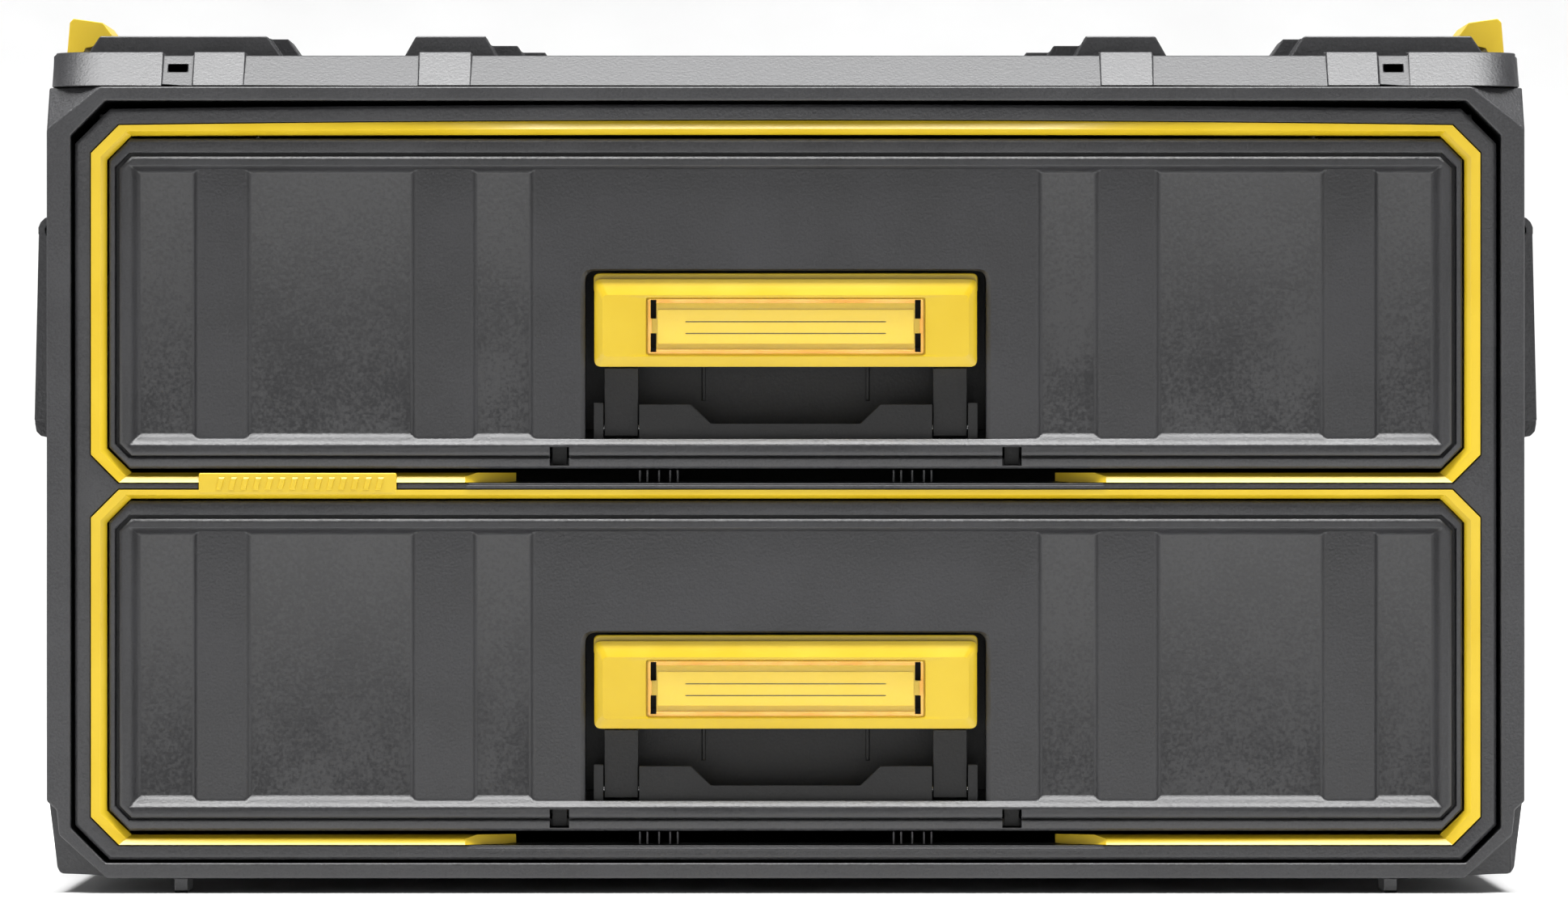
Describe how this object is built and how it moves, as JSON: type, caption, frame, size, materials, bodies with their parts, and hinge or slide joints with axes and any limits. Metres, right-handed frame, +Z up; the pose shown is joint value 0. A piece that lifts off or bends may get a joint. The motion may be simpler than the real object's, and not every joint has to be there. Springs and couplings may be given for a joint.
{
  "type": "two-drawer stacking tool box",
  "caption": "Stackable plastic tool box with drawers on steel slides, latching pulls, folding side handles and stacking latches.",
  "frame": {"origin": "middle of the box in plan, on the surface it stands on", "axes": "+X across the front to the right, +Z up; the drawers open towards -Y"},
  "size_m": [0.5538, 0.371, 0.3185],
  "materials": {
    "black_plastic": "fine moulded grain, satin",
    "dark_plastic": "plain moulded, matt",
    "yellow_plastic": "smooth moulded, satin",
    "clear_plastic": "clear, polished",
    "label_card": "printed card",
    "zinc_steel": "zinc plated",
    "bright_steel": "plain bright"
  },
  "bodies": {
    "box": {"housing": "black_plastic", "top_cover": "black_plastic", "cover_screw_front_left": "bright_steel", "cover_screw_front_right": "bright_steel", "cover_screw_rear_left": "bright_steel", "cover_screw_rear_right": "bright_steel", "front_bezel": "black_plastic", "drawer_trim": "yellow_plastic", "chassis_left": "dark_plastic", "chassis_right": "dark_plastic", "handle_bracket_left": "dark_plastic", "handle_bracket_right": "dark_plastic", "handle_pin_left": "bright_steel", "handle_pin_right": "bright_steel", "latch_pin_left": "bright_steel", "latch_pin_right": "bright_steel", "latch_spring_left": "bright_steel", "latch_spring_right": "bright_steel", "upper_slide_outer_left": "zinc_steel", "upper_slide_outer_right": "zinc_steel", "lower_slide_outer_left": "zinc_steel", "lower_slide_outer_right": "zinc_steel"},
    "upper_drawer": {"upper_bin": "black_plastic", "upper_latch_cover": "black_plastic", "upper_front_panel": "black_plastic", "upper_pocket_liner": "dark_plastic", "upper_pull_bracket": "dark_plastic", "upper_pull_pin": "bright_steel", "upper_pull_spring": "bright_steel", "upper_divider": "dark_plastic", "upper_slide_inner_left": "zinc_steel", "upper_slide_inner_right": "zinc_steel"},
    "upper_slides": {"upper_slide_middle_left": "zinc_steel", "upper_slide_middle_right": "zinc_steel"},
    "upper_pull": {"upper_pull_lever": "dark_plastic", "upper_pull_bar": "yellow_plastic", "upper_label_card": "label_card", "upper_label_window": "clear_plastic"},
    "upper_latch": {"upper_latch_bar": "dark_plastic"},
    "lower_drawer": {"lower_bin": "black_plastic", "lower_latch_cover": "black_plastic", "lower_front_panel": "black_plastic", "lower_pocket_liner": "dark_plastic", "lower_pull_bracket": "dark_plastic", "lower_pull_pin": "bright_steel", "lower_pull_spring": "bright_steel", "lower_divider": "dark_plastic", "lower_slide_inner_left": "zinc_steel", "lower_slide_inner_right": "zinc_steel"},
    "lower_slides": {"lower_slide_middle_left": "zinc_steel", "lower_slide_middle_right": "zinc_steel"},
    "lower_pull": {"lower_pull_lever": "dark_plastic", "lower_pull_bar": "yellow_plastic", "lower_label_card": "label_card", "lower_label_window": "clear_plastic"},
    "lower_latch": {"lower_latch_bar": "dark_plastic"},
    "carry_handle_left": {"side_handle_left": "black_plastic"},
    "latch_left": {"stacking_latch_left": "yellow_plastic"},
    "carry_handle_right": {"side_handle_right": "black_plastic"},
    "latch_right": {"stacking_latch_right": "yellow_plastic"}
  },
  "joints": [
    {"name": "upper_drawer_slide", "type": "slide", "parent": "box", "child": "upper_drawer", "axis": [0, -1, 0], "range_m": [0, 0.27]},
    {"name": "upper_slides_follow", "type": "slide", "parent": "box", "child": "upper_slides", "axis": [0, -1, 0], "range_m": [0, 0.136]},
    {"name": "upper_pull_hinge", "type": "hinge", "parent": "upper_drawer", "child": "upper_pull", "pos_m": [0, -0.1725, 0.167], "axis": [1, 0, 0], "range_deg": [0, 22], "stiffness_Nm_per_rad": 0.5, "springref_deg": -11.46},
    {"name": "upper_latch_lift", "type": "slide", "parent": "upper_drawer", "child": "upper_latch", "axis": [0, 0, 1], "range_m": [0, 0.0042]},
    {"name": "lower_drawer_slide", "type": "slide", "parent": "box", "child": "lower_drawer", "axis": [0, -1, 0], "range_m": [0, 0.27]},
    {"name": "lower_slides_follow", "type": "slide", "parent": "box", "child": "lower_slides", "axis": [0, -1, 0], "range_m": [0, 0.136]},
    {"name": "lower_pull_hinge", "type": "hinge", "parent": "lower_drawer", "child": "lower_pull", "pos_m": [0, -0.1725, 0.037], "axis": [1, 0, 0], "range_deg": [0, 22], "stiffness_Nm_per_rad": 0.5, "springref_deg": -11.46},
    {"name": "lower_latch_lift", "type": "slide", "parent": "lower_drawer", "child": "lower_latch", "axis": [0, 0, 1], "range_m": [0, 0.0042]},
    {"name": "carry_handle_left_hinge", "type": "hinge", "parent": "box", "child": "carry_handle_left", "pos_m": [-0.27, 0, 0.24], "axis": [0, 1, 0], "range_deg": [0, 95]},
    {"name": "latch_left_hinge", "type": "hinge", "parent": "box", "child": "latch_left", "pos_m": [-0.2628, 0, 0.268], "axis": [0, -1, 0], "range_deg": [0, 28], "stiffness_Nm_per_rad": 0.4, "springref_deg": -11.46},
    {"name": "carry_handle_right_hinge", "type": "hinge", "parent": "box", "child": "carry_handle_right", "pos_m": [0.27, 0, 0.24], "axis": [0, -1, 0], "range_deg": [0, 95]},
    {"name": "latch_right_hinge", "type": "hinge", "parent": "box", "child": "latch_right", "pos_m": [0.2628, 0, 0.268], "axis": [0, 1, 0], "range_deg": [0, 28], "stiffness_Nm_per_rad": 0.4, "springref_deg": -11.46}
  ],
  "couplings": [
    {"joint": "upper_slides_follow", "follows": "upper_drawer_slide", "ratio": 0.5},
    {"joint": "upper_latch_lift", "follows": "upper_pull_hinge", "m_per_rad": 0.0104},
    {"joint": "lower_slides_follow", "follows": "lower_drawer_slide", "ratio": 0.5},
    {"joint": "lower_latch_lift", "follows": "lower_pull_hinge", "m_per_rad": 0.0104}
  ]
}
